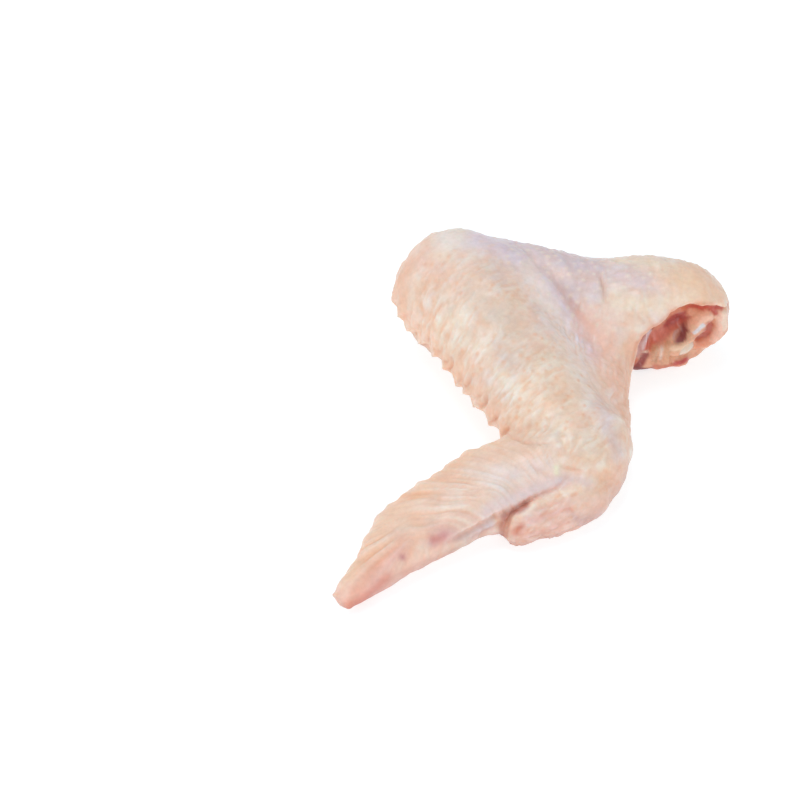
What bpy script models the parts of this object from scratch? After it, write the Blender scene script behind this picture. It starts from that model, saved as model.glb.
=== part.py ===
"""A raw chicken wing, skin on, lying folded with its outer side up.

The wing is a Z of three lengths: the upper arm from the cut shoulder to the elbow, the forearm from
the elbow to the wrist, and the hand from the wrist to the tip, with the thumb beside it. A web of skin
fills the corner between upper arm and forearm. The upper arm's bone shows in the shoulder's cut.
+X runs from the elbow to the shoulder, +Y to the back of the upper arm, and +Z up from the table.
"""

import math

import bpy
import numpy as np
from mathutils import Vector
from mathutils.kdtree import KDTree

MM = 0.001  # every size below is in millimetres

# The joints of the skeleton, in a frame of their own that stands on the table
ELBOW = Vector((16.4, 24, 16.5))
SHOULDER = Vector((80.8, 18, 14.5))
WRIST = Vector((45, -34, 10))
HAND_TIP = Vector((-13.5, -80, 4))
THUMB_ROOT = Vector((50, -38, 7))
THUMB_BEND = Vector((45, -47, 5.5))
THUMB_TIP = Vector((29, -57, 4))
WEB_INSIDE = Vector((30, 2, 14))
WEB_EDGE = Vector((61, -8, 7))
WEB_HEM_START = Vector((57, 10, 5))
WEB_HEM_END = Vector((56, -32, 7))
BONE_START = Vector((17, 24, 16))
BONE_END = Vector((75.3, 18, 6.8))

# How each length swells round its bone. A station is: share of the bone's length, then how far the
# flesh reaches to the left of the bone's direction, to its right, above it and below it.
UPPER_ARM = [
    (-0.27, 18.6, 15, 18.2, 18),
    (0.17, 17.5, 14, 16.6, 16.5),
    (0.375, 15.5, 14, 14.4, 14),
    (0.54, 13.2, 14, 13.2, 14),
    (0.75, 15, 14.5, 15.3, 16),
    (1.125, 14, 13.5, 12.4, 16),
]
FOREARM = [
    (-0.29, 18, 17, 18.2, 18),
    (0.05, 16, 15.5, 17.4, 17),
    (0.45, 16, 15, 15, 12),
    (0.8, 14, 14, 12, 9),
    (1.2, 11, 12, 9, 10),
]
HAND = [
    (-0.2, 8, 8, 10, 10),
    (0.05, 7, 11, 10, 10),
    (0.3, 5.8, 16.2, 8.3, 7.5),
    (0.45, 4.8, 18.6, 7.3, 6.5),
    (0.65, 3.4, 16.6, 6, 5.5),
    (0.88, 2.6, 6.8, 4.5, 5),
    (1.04, 2.6, 2.4, 3.5, 4.5),
]
THUMB_BASE = [
    (-0.8, 7, 12, 7, 8),
    (0.4, 6.5, 10, 6.5, 7),
    (1.4, 5.5, 8, 5, 6.5),
]
THUMB = [
    (-0.4, 6.5, 8, 6, 6),
    (0.5, 5.3, 7, 5.5, 5.5),
    (1.2, 3.6, 4.6, 4, 4.5),
]
WEB = [
    (-0.2, 10, 10, 9, 8),
    (0.4, 16, 14, 8.5, 8),
    (0.95, 19, 20, 6, 7),
]
WEB_HEM = [
    (-0.05, 4, 4, 4, 4),
    (1.05, 4, 4, 4, 4),
]
HUMERUS = [
    (-0.08, 7, 7, 6, 6),
    (0.06, 6.5, 6.5, 5.5, 5.5),
    (0.3, 3.8, 3.8, 3.8, 3.8),
    (0.65, 3.8, 3.8, 3.8, 3.8),
    (0.86, 4.8, 4.8, 4.4, 4.2),
    (1.0, 5.8, 5.8, 4.8, 4.6),
    (1.08, 5.6, 5.6, 4.6, 4.4),
]
# Over how long a stretch a limb closes at its start and at its end
UPPER_ARM_CLOSING = (17, 12)
FOREARM_CLOSING = (17, 12)
HAND_CLOSING = (8, 8)
THIN_CLOSING = (6, 6)
HEM_CLOSING = (4, 4)

# The cut through the shoulder faces the front, a little to the right and down
CUT_POINT = Vector((74, 11.5, 12))
CUT_NORMAL = Vector((0.30, -0.94, -0.15)).normalized()
CUT_RIGHT = Vector((0, 0, 1)).cross(CUT_NORMAL).normalized()
CUT_UP = CUT_NORMAL.cross(CUT_RIGHT)
# Its skin's rim runs up beside the web, over the muscles and along the top of the arm. The points it
# runs through are along CUT_RIGHT and CUT_UP.
RIM = [
    (-12.6, -8),
    (-12.2, -3),
    (-11.5, 2),
    (-10.1, 5.6),
    (-8, 7.6),
    (-5.6, 9),
    (-3.4, 11.3),
    (0.2, 12.7),
    (5, 12),
    (9.5, 10.2),
    (13, 8),
]
RIM_STEPS = 30
CUTTER_SIZE = 60

# Flesh in the cut. Each form is: its middle along CUT_RIGHT and CUT_UP, its reach along and across its
# own length, that length's turn from CUT_RIGHT in degrees, and how far it stands out (or lies deep).
SKIN_RIM = 1.6
FLESH_DEPTH = -1.8
FLESH_FORMS = {
    "long muscle": (-3, 5, 9, 2.6, 45, -2.8),
    "muscle by the web": (-9.5, -4, 6, 2.6, 80, -2.6),
    "back muscle": (4, 9.6, 7, 1.6, -10, -2.4),
    "hollow over the bone": (1.4, 1.6, 4, 2, 60, -3.6),
    "hollow right of the bone": (8.4, -2.5, 4, 1.8, 40, -2.6),
    "fat by the web": (-5, -7, 2.6, 4, 0, 3.4),
    "flesh under the bone": (2.5, -11, 4, 1.6, 10, 2.2),
    "right lobe": (11.5, 0.5, 5.5, 1.8, 75, 2.2),
    "tendon": (6.5, 5.6, 5.5, 1.2, 20, 2.4),
    "ligament": (5.6, 0.4, 3.6, 1.2, 62, 2.2),
}

# Feather knuckles along the trailing edge: the shares of the bone where a row starts and ends
FOREARM_KNUCKLES = {"count": 13, "first": -0.2, "last": 0.86, "height": 1.7, "reach": 1.7, "length": 5}
HAND_KNUCKLES = {"count": 13, "first": 0.18, "last": 0.98, "height": 0.7, "reach": 1.5, "length": 6}

# Folds in the skin of the upper side: the points they run through on the table's plane, depth, half width
FOLDS = {
    "forearm muscle, outer": ([(21, 36), (33, 26), (43, 14), (51, 3), (55, -7)], 1.1, 1.9),
    "forearm muscle, inner": ([(27, 33), (39, 21), (47, 8), (52, -4)], 0.6, 1.3),
    "upper arm": ([(53, 27), (55, 20), (54, 12)], 0.7, 1.4),
    "wrist, back": ([(27, -31), (33, -33), (40, -34)], 1.1, 1.1),
    "wrist, middle": ([(34, -29), (39, -35), (42, -42)], 0.6, 1.2),
    "thumb": ([(44, -42), (36, -45), (29, -50), (27, -58)], 1.2, 1.2),
    "along the hand": ([(31, -48), (20, -52), (10, -58), (0, -66)], 0.8, 1.2),
}

RINGS = 40
RING_SIDES = 40
BONE_RINGS = 22
BONE_SIDES = 18
BONE_GAP = 0.35
FINE_GRID = 1.0
WEB_FILLET = 6
JOINT_FILLET = 1.5
FINISHED_TRIANGLES = 9600

SKIN_COLOUR = (0.83, 0.62, 0.50, 1)
BONE_COLOUR = (0.82, 0.78, 0.70, 1)


def clear_scene():
    for obj in list(bpy.data.objects):
        bpy.data.objects.remove(obj)


def smooth_through(knots, values, where):
    """Values read from a smooth curve through the knots (Catmull-Rom)."""
    knots = np.asarray(knots, float)
    values = np.asarray(values, float)
    slopes = np.gradient(values, knots, axis=0)
    where = np.clip(where, knots[0], knots[-1])
    right = np.clip(np.searchsorted(knots, where, side="right"), 1, len(knots) - 1)
    left = right - 1
    span = (knots[right] - knots[left])[:, None]
    t = (where - knots[left])[:, None] / span
    rise = t * t * (3 - 2 * t)
    start_slope = t * (1 - t) ** 2 * span
    end_slope = t * t * (t - 1) * span
    return (
        values[left] * (1 - rise)
        + values[right] * rise
        + slopes[left] * start_slope
        + slopes[right] * end_slope
    )


def mesh_object(name, points, faces):
    """A new object whose points are given in millimetres."""
    mesh = bpy.data.meshes.new(name)
    mesh.from_pydata([tuple(Vector(p) * MM) for p in points], [], faces)
    obj = bpy.data.objects.new(name, mesh)
    bpy.context.scene.collection.objects.link(obj)
    return obj


def bone_axes(start, end):
    """The directions along a bone, to its left and up from it."""
    along = (end - start).normalized()
    left = Vector((0, 0, 1)).cross(along).normalized()
    return along, left, along.cross(left)


def limb(name, start, end, stations, closing, rings=RINGS, sides=RING_SIDES):
    """A closed loft round the bone from start to end, through the sections of its stations."""
    length = (end - start).length
    along, left, up = bone_axes(start, end)
    shares = np.array([s[0] for s in stations])
    reaches = np.array([s[1:] for s in stations], float)
    first, last = shares[0] * length, shares[-1] * length
    # the rings crowd towards the two ends, where the limb closes
    turn = np.linspace(0, math.pi, rings + 2)[1:-1]
    places = (first + last) / 2 - (last - first) / 2 * np.cos(turn)
    sections = smooth_through(shares * length, reaches, places)
    openness = np.minimum((places - first) / closing[0], (last - places) / closing[1])
    sections = sections * np.sqrt(1 - (1 - np.clip(openness, 0, 1)) ** 2)[:, None]

    points = []
    for place, (to_left, to_right, above, below) in zip(places, sections):
        centre = start + along * place
        for k in range(sides):
            angle = 2 * math.pi * k / sides
            across = math.cos(angle) * (to_left if math.cos(angle) > 0 else to_right)
            rise = math.sin(angle) * (above if math.sin(angle) > 0 else below)
            points.append(centre + left * across + up * rise)
    points.append(start + along * first)
    points.append(start + along * last)
    faces = []
    for ring in range(rings - 1):
        for k in range(sides):
            here, beside = ring * sides + k, ring * sides + (k + 1) % sides
            faces.append((here, beside, beside + sides, here + sides))
    start_pole, end_pole = rings * sides, rings * sides + 1
    last_ring = (rings - 1) * sides
    for k in range(sides):
        beside = (k + 1) % sides
        faces.append((start_pole, beside, k))
        faces.append((end_pole, last_ring + k, last_ring + beside))
    return mesh_object(name, points, faces)


def apply_modifiers(obj):
    """Turns the object's modifiers into its own mesh."""
    bpy.context.view_layer.update()
    graph = bpy.context.evaluated_depsgraph_get()
    mesh = bpy.data.meshes.new_from_object(obj.evaluated_get(graph))
    obj.modifiers.clear()
    obj.data = mesh


def fuse(name, pieces):
    """One closed body out of overlapping pieces."""
    body, others = pieces[0], pieces[1:]
    body.name = name
    collection = bpy.data.collections.new(name + "_pieces")
    bpy.context.scene.collection.children.link(collection)
    for piece in others:
        bpy.context.scene.collection.objects.unlink(piece)
        collection.objects.link(piece)
    union = body.modifiers.new("Union", "BOOLEAN")
    union.operation = "UNION"
    union.operand_type = "COLLECTION"
    union.collection = collection
    union.solver = "MANIFOLD"
    apply_modifiers(body)
    for piece in others:
        bpy.data.objects.remove(piece)
    bpy.data.collections.remove(collection)
    return body


def cut_away(obj, cutter):
    """Takes the cutter's shape out of the object and removes the cutter."""
    difference = obj.modifiers.new("Cut", "BOOLEAN")
    difference.operation = "DIFFERENCE"
    difference.object = cutter
    apply_modifiers(obj)
    bpy.data.objects.remove(cutter)


def remesh(obj, grid):
    modifier = obj.modifiers.new("Even grid", "REMESH")
    modifier.mode = "VOXEL"
    modifier.voxel_size = grid * MM
    modifier.use_smooth_shade = True


def swell(obj, distance):
    modifier = obj.modifiers.new("Swell", "DISPLACE")
    modifier.mid_level = 0
    modifier.strength = distance * MM


def relax(obj, rounds, factor=0.5):
    modifier = obj.modifiers.new("Relax", "SMOOTH")
    modifier.iterations = rounds
    modifier.factor = factor


def round_inner_corners(obj, radius):
    """Swells the body and shrinks it again, which fills its inner corners to that radius."""
    remesh(obj, FINE_GRID)
    relax(obj, 2)
    swell(obj, radius)
    remesh(obj, FINE_GRID)
    relax(obj, 3)
    swell(obj, -radius)
    remesh(obj, FINE_GRID)
    relax(obj, 2)
    apply_modifiers(obj)


def points_and_normals(obj):
    """The object's points, in millimetres, and the directions its surface faces there."""
    points = np.empty(len(obj.data.vertices) * 3)
    normals = np.empty_like(points)
    obj.data.vertices.foreach_get("co", points)
    obj.data.vertices.foreach_get("normal", normals)
    return points.reshape(-1, 3) / MM, normals.reshape(-1, 3)


def move_points(obj, moved):
    obj.data.vertices.foreach_set("co", (moved * MM).ravel())
    obj.data.update()


def bump(across, along, reach, length):
    """A soft bump, 1 at its middle."""
    return np.exp(-0.5 * ((across / reach) ** 2 + (along / length) ** 2))


def knuckle_rise(points, start, end, stations, row):
    """A row of knuckles where feathers stood, on the right-hand edge of a limb."""
    length = (end - start).length
    along, left, up = bone_axes(start, end)
    shares = np.linspace(row["first"], row["last"], row["count"])
    edge = smooth_through([s[0] for s in stations], [[s[2]] for s in stations], shares)[:, 0]
    rise = np.zeros(len(points))
    for share, reach_right in zip(shares, edge):
        middle = start + along * (share * length) - left * float(reach_right)
        away = points - np.array(middle)
        across = away @ np.array(along)
        along_knuckle = np.hypot(away @ np.array(left), away @ np.array(up))
        rise = np.maximum(rise, bump(across, along_knuckle, row["reach"], row["length"]))
    return rise * row["height"]


def fold_rise(points, normals, route, depth, half_width):
    """A fold in the upper side along a smooth route over the table's plane; it fades at its ends."""
    route = np.array(route, float)
    steps = np.linspace(0, len(route) - 1, 12 * len(route))
    line = smooth_through(np.arange(len(route)), route, steps)
    apart = np.linalg.norm(points[:, None, :2] - line[None], axis=2)
    nearest = apart.argmin(axis=1)
    fade = np.sin(math.pi * np.clip(steps / steps[-1], 0.04, 0.96)) ** 0.5
    facing_up = np.clip(normals[:, 2] * 3 - 0.2, 0, 1)
    return -depth * fade[nearest] * facing_up * bump(apart.min(axis=1), 0, half_width, 1)


def add_relief(body):
    points, normals = points_and_normals(body)
    rise = knuckle_rise(points, ELBOW, WRIST, FOREARM, FOREARM_KNUCKLES)
    rise += knuckle_rise(points, WRIST, HAND_TIP, HAND, HAND_KNUCKLES)
    for route, depth, half_width in FOLDS.values():
        rise += fold_rise(points, normals, route, depth, half_width)
    move_points(body, points + normals * rise[:, None])


def prism(name, outline, right, up, middle, near, far):
    """The outline, counter-clockwise over right and up from the middle, as a solid from near to far."""
    out = right.cross(up)
    points = [middle + right * r + up * u + out * near for r, u in outline]
    points += [middle + right * r + up * u + out * far for r, u in outline]
    count = len(outline)
    faces = [tuple(range(count))[::-1], tuple(range(count, 2 * count))]
    for k in range(count):
        beside = (k + 1) % count
        faces.append((k, beside, beside + count, k + count))
    return mesh_object(name, points, faces)


def shoulder_cutter():
    rim = smooth_through(range(len(RIM)), RIM, np.linspace(len(RIM) - 1, 0, RIM_STEPS))
    outline = [(CUTTER_SIZE, -CUTTER_SIZE), (CUTTER_SIZE, RIM[-1][1])]
    outline += [(float(right), float(up)) for right, up in rim]
    outline.append((RIM[0][0], -CUTTER_SIZE))
    return prism("cutter", outline, CUT_RIGHT, CUT_UP, CUT_POINT, 0, CUTTER_SIZE)


def flesh_height(right, up):
    """How far the flesh stands out of the cut's plane, away from the skin's rim."""
    height = np.full(len(right), float(FLESH_DEPTH))
    for middle_right, middle_up, length, reach, turn, stands_out in FLESH_FORMS.values():
        cosine, sine = math.cos(math.radians(turn)), math.sin(math.radians(turn))
        along = (right - middle_right) * cosine + (up - middle_up) * sine
        across = (up - middle_up) * cosine - (right - middle_right) * sine
        height += stands_out * bump(across, along, reach, length)
    return height


def cut_shoulder(body):
    """Cuts the upper arm's end open and shapes the flesh that shows, inside a rim of skin."""
    cut_away(body, shoulder_cutter())
    remesh(body, FINE_GRID)
    relax(body, 1)
    apply_modifiers(body)

    points, normals = points_and_normals(body)
    from_plane = points - np.array(CUT_POINT)
    out = from_plane @ np.array(CUT_NORMAL)
    right = from_plane @ np.array(CUT_RIGHT)
    up = from_plane @ np.array(CUT_UP)
    facing = normals @ np.array(CUT_NORMAL)
    under_rim = up < np.interp(right, [point[0] for point in RIM], [point[1] for point in RIM])
    on_cut = (np.abs(out) < FINE_GRID) & (facing > 0.7) & (right > RIM[0][0]) & under_rim
    beside = np.flatnonzero((np.abs(out) < 4 * FINE_GRID) & ~on_cut)
    rim = KDTree(len(beside))
    for index in beside:
        rim.insert(Vector(points[index]), int(index))
    rim.balance()
    from_rim = np.array([rim.find(Vector(points[index]))[2] for index in np.flatnonzero(on_cut)])
    inside = np.clip(from_rim / SKIN_RIM, 0, 1) ** 2
    moved = points.copy()
    sunk = flesh_height(right[on_cut], up[on_cut]) * inside
    moved[on_cut] += sunk[:, None] * np.array(CUT_NORMAL)
    move_points(body, moved)
    remesh(body, FINE_GRID)
    relax(body, 1)
    apply_modifiers(body)


def wing_body():
    arm = fuse(
        "wing",
        [
            limb("forearm", ELBOW, WRIST, FOREARM, FOREARM_CLOSING),
            limb("upper_arm", ELBOW, SHOULDER, UPPER_ARM, UPPER_ARM_CLOSING),
            limb("web", WEB_INSIDE, WEB_EDGE, WEB, THIN_CLOSING),
            limb("web_hem", WEB_HEM_START, WEB_HEM_END, WEB_HEM, HEM_CLOSING),
        ],
    )
    round_inner_corners(arm, WEB_FILLET)
    body = fuse(
        "wing",
        [
            arm,
            limb("hand", WRIST, HAND_TIP, HAND, HAND_CLOSING),
            limb("thumb_base", THUMB_ROOT, THUMB_BEND, THUMB_BASE, THIN_CLOSING),
            limb("thumb", THUMB_BEND, THUMB_TIP, THUMB, THIN_CLOSING),
        ],
    )
    round_inner_corners(body, JOINT_FILLET)
    add_relief(body)
    cut_shoulder(body)
    return body


def thin_out(obj, triangles):
    """Drops points where the surface is nearly flat."""
    obj.data.calc_loop_triangles()
    modifier = obj.modifiers.new("Thin out", "DECIMATE")
    modifier.ratio = triangles / len(obj.data.loop_triangles)
    apply_modifiers(obj)


def flatten_base(obj):
    """Cuts the object flat where it lies on the table."""
    reach = 4 * CUTTER_SIZE
    outline = [(-reach, -reach), (reach, -reach), (reach, reach), (-reach, reach)]
    right, back, middle = Vector((1, 0, 0)), Vector((0, 1, 0)), Vector((0, 0, 0))
    cut_away(obj, prism("table", outline, right, back, middle, -CUTTER_SIZE, 0))


def humerus(name, gap=0):
    """The upper arm's bone with its round head at the shoulder, swollen by the gap."""
    stations = [(share, *(reach + gap for reach in reaches)) for share, *reaches in HUMERUS]
    return limb(name, BONE_START, BONE_END, stations, THIN_CLOSING, BONE_RINGS, BONE_SIDES)


def add_material(obj, name, colour, roughness):
    material = bpy.data.materials.new(name)
    material.use_nodes = True
    shader = material.node_tree.nodes["Principled BSDF"]
    shader.inputs["Base Color"].default_value = colour
    shader.inputs["Roughness"].default_value = roughness
    shader.inputs["Metallic"].default_value = 0
    obj.data.materials.append(material)


def centre_over_origin(objects):
    """Places the objects so that the middle of their shared box is over the origin."""
    corners = np.array([corner[:] for obj in objects for corner in obj.bound_box])
    middle = (corners.min(axis=0) + corners.max(axis=0)) / 2
    for obj in objects:
        obj.location = (-middle[0], -middle[1], 0)


def main():
    clear_scene()
    wing = wing_body()
    thin_out(wing, FINISHED_TRIANGLES)
    flatten_base(wing)
    cut_away(wing, humerus("channel", BONE_GAP))
    bone = humerus("humerus")
    add_material(wing, "raw_skin", SKIN_COLOUR, 0.4)
    add_material(bone, "bone", BONE_COLOUR, 0.3)
    centre_over_origin([wing, bone])


main()
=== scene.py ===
"""The looks of a raw chicken wing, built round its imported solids.

The skin is one fine mesh grown from the wing's solid. The limbs are described in the same frame as
the solids' own source: millimetres, standing on the table, called the plan here. Marks that were read
off the photograph keep the pixel they were read at, and the camera tells which place of the wing shows
there.
"""

import math

import bpy
import numpy as np
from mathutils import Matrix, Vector
from mathutils.bvhtree import BVHTree

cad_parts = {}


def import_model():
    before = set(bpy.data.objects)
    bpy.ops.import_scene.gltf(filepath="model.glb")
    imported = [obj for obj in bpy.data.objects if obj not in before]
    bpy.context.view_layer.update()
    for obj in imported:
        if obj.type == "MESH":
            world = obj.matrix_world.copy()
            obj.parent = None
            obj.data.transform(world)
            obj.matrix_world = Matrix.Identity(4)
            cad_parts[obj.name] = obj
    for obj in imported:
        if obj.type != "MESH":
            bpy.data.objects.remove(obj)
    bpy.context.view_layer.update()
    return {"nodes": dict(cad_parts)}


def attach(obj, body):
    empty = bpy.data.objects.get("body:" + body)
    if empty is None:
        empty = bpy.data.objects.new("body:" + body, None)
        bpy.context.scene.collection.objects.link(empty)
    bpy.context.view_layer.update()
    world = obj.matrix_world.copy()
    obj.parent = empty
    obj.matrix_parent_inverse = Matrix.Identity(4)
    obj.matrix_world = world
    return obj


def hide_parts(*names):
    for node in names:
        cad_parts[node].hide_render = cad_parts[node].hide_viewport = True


MM = 0.001
PLAN_MIDDLE = np.array([36.66, -19.47, 0.0])  # where the middle of the part's box lies in the plan

ELBOW = np.array([16.4, 24, 16.5])
SHOULDER = np.array([80.8, 18, 14.5])
WRIST = np.array([45, -34, 10.0])
HAND_MIDDLE = (np.array([41, -38, 9.0]), np.array([-11, -74, 4.0]))
THUMB_ROOT = np.array([50, -38, 7.0])
THUMB_TIP = np.array([29, -57, 4.0])
WEB_INSIDE = np.array([30, 2, 14.0])
WEB_EDGE = np.array([61, -8, 7.0])

# The middle lines of the regions, and how thick each is
REGIONS = {
    "forearm": (ELBOW, WRIST, 15),
    "upper arm": (ELBOW + np.array([12, -1, 0]), SHOULDER, 14),
    "web": (WEB_INSIDE, WEB_EDGE, 12),
    "hand": (*HAND_MIDDLE, 10),
    "thumb": (THUMB_ROOT, THUMB_TIP, 6.5),
}
REGION_SHARPNESS = 7

# The shoulder's cut: a point of its plane and the way it faces
CUT_POINT = np.array([74, 11.5, 12])
CUT_NORMAL = np.array([0.30, -0.94, -0.15]) / np.linalg.norm([0.30, -0.94, -0.15])
CUT_RIGHT = np.cross([0, 0, 1], CUT_NORMAL) / np.linalg.norm(np.cross([0, 0, 1], CUT_NORMAL))
CUT_UP = np.cross(CUT_NORMAL, CUT_RIGHT)
# The skin's rim over the cut: how high it lies at each place to the right, and where it starts
RIM_PLACES = [-13.9, -13.5, -12.7, -10.8, -8.2, -5.6, -3.4, 0.2, 5, 9.5, 13]
RIM_HEIGHTS = [-8, -3, 2, 5.6, 7.6, 9, 11.3, 12.7, 12, 10.2, 8]
RIM_START = RIM_PLACES[0]

WEB_SHIFT = 1.4  # how far the web's skin draws back from the cut's left side
# Places of the skin that lie a little aside of the solid's: the middle, how far each reaches and its move
SHIFTS = [
    # Upper arm's end
    ((81.8, 15.5, 4.2), 4.5, (-0.7, -0.4, 1.5)),
    ((64, 13.4, 1), 3.0, (-0.8, -1.8, 0)),
    ((86.5, 18.5, 4.5), 4.0, (-0.9, 0, 0.7)),
    # Hand and thumb
    ((25.6, -56.6, 2.5), 1.6, (0, 1.7, 0)),
    ((34.7, -58, 1.5), 3.0, (0, 1.6, 0)),
]

# The photograph's camera: it looks along +Y and down on the plan's origin
CAMERA_ELEVATION = math.radians(39)
CAMERA_DISTANCE = 620
PIXELS_PER_MM = 3.75
IMAGE_SIZE = 800
SENSOR_WIDTH = 36
LOOK = np.array([0, math.cos(CAMERA_ELEVATION), -math.sin(CAMERA_ELEVATION)])
LOOK_UP = np.array([0, math.sin(CAMERA_ELEVATION), math.cos(CAMERA_ELEVATION)])

SKIN_GRID = 0.495
SKIN_ROUNDING = 7  # rounds of smoothing
BONE_SWELL = 0.9  # the bone swells this much to fill its channel in the skin's mesh

# How squarely the skin faces the photograph's camera where its marks start and where they are whole
SEEN = (0.05, 0.35)
NEARLY_SEEN = (-0.9, 0.1)
RAGGED = 0.6  # how uneven the border of the nearly seen skin is
RELIEF_FOOT = 1.5  # the relief fades out this near the table

# Where the forearm's feather knuckles stand out, as shares of the forearm
KNUCKLES = [-0.18, -0.09, 0.0, 0.088, 0.182, 0.266, 0.377, 0.432, 0.51, 0.628, 0.727, 0.82]
KNUCKLE_HEIGHT = 2.2
KNUCKLE_FALL = 0.42  # the share of each knuckle that falls away towards the wrist
KNUCKLE_MIDDLE = -6.8  # how far round the forearm the knuckles stand highest
KNUCKLE_SPREAD = 5.5
KNUCKLE_SLANT = 0.85  # how far each runs towards the wrist as it climbs round the forearm
# How far the edge between them lies from the solid's: shares of the forearm and millimetres
KNUCKLE_EDGE = ([-0.2, -0.1, 0.05, 0.2, 0.7, 0.86], [-0.3, -0.7, -0.9, -1.3, -1.3, -1.7])

# The same down the hand's far edge
HAND_KNUCKLES = [0.17, 0.26, 0.36, 0.43, 0.5, 0.58, 0.67, 0.77, 0.86]
HAND_KNUCKLE_HEIGHT = 0.5
HAND_KNUCKLE_SLANT = 0.5
HAND_EDGE = (
    [0.05, 0.12, 0.2, 0.26, 0.3, 0.36, 0.42, 0.51, 0.54, 0.58, 0.62, 0.68, 0.73, 0.77, 0.82, 0.9],
    [1.2, 1.4, 1.1, 1.5, 1.1, 0.2, -0.4, 0.0, -0.1, -0.4, 0.3, 0.3, 1.1, 0.4, 1.2, 0.2],
)

# Creases in the skin: the photograph's pixels they run through, depth and half width
CREASES = [
    # Knuckles
    ([(394, 304), (400, 303), (405, 299)], 0.2, 0.5),
    ([(399, 316), (405, 316), (411, 312)], 0.3, 0.5),
    ([(407, 330), (413, 329), (418, 325)], 0.25, 0.5),
    ([(419, 343), (426, 341), (431, 337)], 0.3, 0.5),
    ([(431, 351), (438, 352), (445, 348)], 0.3, 0.5),
    ([(440, 363), (446, 362), (451, 358)], 0.3, 0.5),
    ([(443, 369), (449, 369), (452, 364), (451, 358)], 0.5, 0.45),
    ([(454, 384), (459, 381), (463, 376)], 0.3, 0.45),
    ([(462, 387), (466, 386), (470, 381), (471, 376)], 0.5, 0.45),
    ([(473, 399), (479, 396), (484, 391)], 0.3, 0.45),
    ([(479, 408), (485, 403), (487, 397)], 0.5, 0.45),
    ([(488, 424), (494, 420), (499, 412)], 0.5, 0.45),
    ([(500, 435), (506, 431), (511, 426)], 0.5, 0.45),
    # Wrist
    ([(502, 435), (510, 436), (519, 439), (528, 443), (540, 444), (551, 443)], 0.38, 0.55),
    ([(508, 429), (520, 430), (532, 427), (545, 430)], 0.25, 0.6),
    ([(530, 463), (541, 470), (552, 477)], 0.22, 0.7),
    ([(562, 466), (571, 469), (584, 472)], 0.4, 0.45),
    # Thumb
    ([(566, 478), (557, 487), (545, 492), (532, 498), (522, 506)], 0.5, 0.6),
    ([(536, 497), (524, 504), (514, 511), (509, 519), (506, 530), (504, 541)], 1.0, 0.55),
    ([(566, 500), (552, 504), (538, 509)], 0.25, 0.6),
    ([(523, 526), (517, 529), (516, 534)], 0.4, 0.5),
    # Hand
    ([(530, 499), (510, 509), (490, 519), (472, 530), (460, 537), (450, 543)], 0.85, 0.75),
    ([(506, 519), (490, 529), (468, 540)], 0.5, 0.8),
    # Upper arm
    ([(600, 270), (602, 281), (604, 292), (606, 303)], 0.5, 0.5),
    # Groove
    ([(530, 255), (550, 274), (568, 297), (586, 326), (600, 352)], 0.25, 1.4),
    ([(554, 276), (566, 297), (580, 315), (590, 329)], 0.2, 0.8),
]
LIP_SHARE = 0.3  # how high the skin stands up beside a crease
CREASE_SHADE = 1.8  # how dark the painted shade in a crease is for each millimetre of its depth

# Single swellings: the pixel, half width and height
SWELLINGS = [
    # Hand's tip
    ((337, 595), 0.7, 0.85),
    ((349, 607), 1.0, 0.6),
    # Wrist and thumb
    ((557, 468), 0.9, 0.35),
    ((514, 524), 1.6, 0.3),
    ((545, 455), 2.2, 0.5),
    ((588, 470), 2.6, 0.4),
]

BENDS = ((6, 21), (2.5, 22))  # the wide and the narrow noise that bend the wrinkles: size and seed
# Puffy wrinkles: spacing, length, height, and whether they run round the limb
WRINKLES = {
    "forearm": (1.6, 4.2, 0.31, True),
    "upper arm": (2.0, 3.0, 0.15, True),
    "web": (1.8, 4.5, 0.24, True),
    "thumb": (1.2, 4.5, 0.34, False),
}
WRINKLE_SLANT = 0.3
ELBOW_WRINKLES = (2.3, 0.2)  # size and height of those on the elbow's round end
# Smoother places: the pixels they run through, half width, and how much of the wrinkles goes there
CALM = [
    # Hand
    ([(484, 510), (515, 496), (540, 485), (562, 472)], 3.2, 0.85),
    # Elbow
    ([(396, 300), (402, 270), (418, 250), (440, 240)], 4.2, 0.8),
    ([(446, 238), (484, 240)], 3.0, 0.5),
    # Thumb
    ([(511, 534), (516, 524)], 2.0, 0.8),
]
CREST_SHARE = 0.55  # how strong the wrinkles stay on the forearm's crest

# The hand's ridges fan out from two places: one for its wrist end, one for its tip
HAND_FANS = [{"centre": (46.4, -60.3), "radius": 40}, {"centre": (10.9, -54.9), "radius": 26}]
HAND_FAN_CHANGE = (42, 52)  # how far down the hand the one gives way to the other
HAND_RIDGES = {"spacing": 1.05, "length": 11, "height": 0.34}
# Raised spots where feathers stood: spacing and height
SPOTS = {
    "forearm": (2.9, 0.16),
    "upper arm": (2.7, 0.26),
    "web": (2.5, 0.26),
    "hand": (3.0, 0.04),
    "thumb": (2.6, 0.16),
}
SPOT_RADIUS = 0.75
SPOT_ROWS = math.radians(32)  # how far their rows are turned from the limb's line
BUMPS_END = (32, 46)  # how far along the upper arm their light colour fades out

# Skin colours, as the photograph's own red, green and blue
CREAM = (244, 226, 208)
PEACH = (243, 205, 180)
DEEP_PEACH = (242, 194, 166)
LILAC = (224, 208, 216)
PINK = (238, 194, 180)
BEIGE = (228, 206, 186)
BRUISE = (208, 138, 140)
ORANGE = (240, 180, 136)
GOOSE_BUMP = (246, 234, 220)
SUNKEN = (214, 146, 124)
STREAK = (252, 236, 220)

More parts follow.
